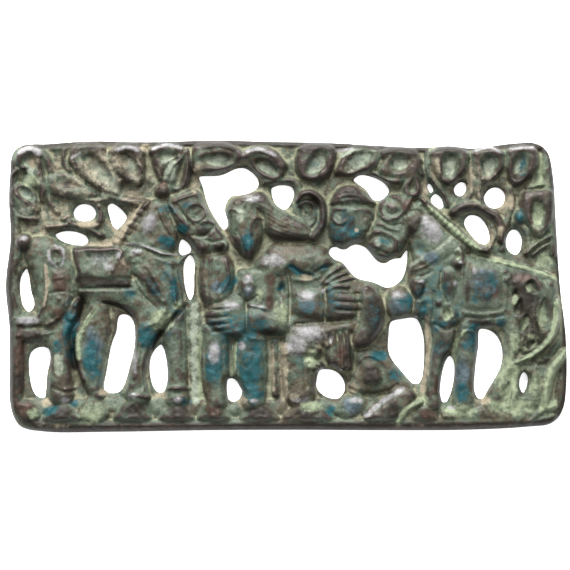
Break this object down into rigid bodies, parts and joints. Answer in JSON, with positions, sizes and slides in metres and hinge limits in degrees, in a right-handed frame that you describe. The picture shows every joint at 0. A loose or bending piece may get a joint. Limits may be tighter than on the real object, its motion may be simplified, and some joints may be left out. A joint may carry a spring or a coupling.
{
  "type": "openwork relief plaque",
  "caption": "Rectangular cast bronze belt plaque in openwork relief, with wrestlers between saddled horses under leafy branches on rocky ground; it lies on its flat back.",
  "frame": {"origin": "middle of the plaque's outline, on the plane of its flat back", "axes": "+X along the plaque's length, to the right of its picture, +Y up the picture, +Z out of the relief"},
  "size_m": [0.1404, 0.073, 0.0063],
  "materials": {
    "bronze": "cast bronze with a dark brown-black polish on the high places, grey-green and blue-green patina in the hollows and pale tan dirt in the deepest ground"
  },
  "bodies": {
    "root": {"plaque": "bronze"}
  },
  "joints": []
}
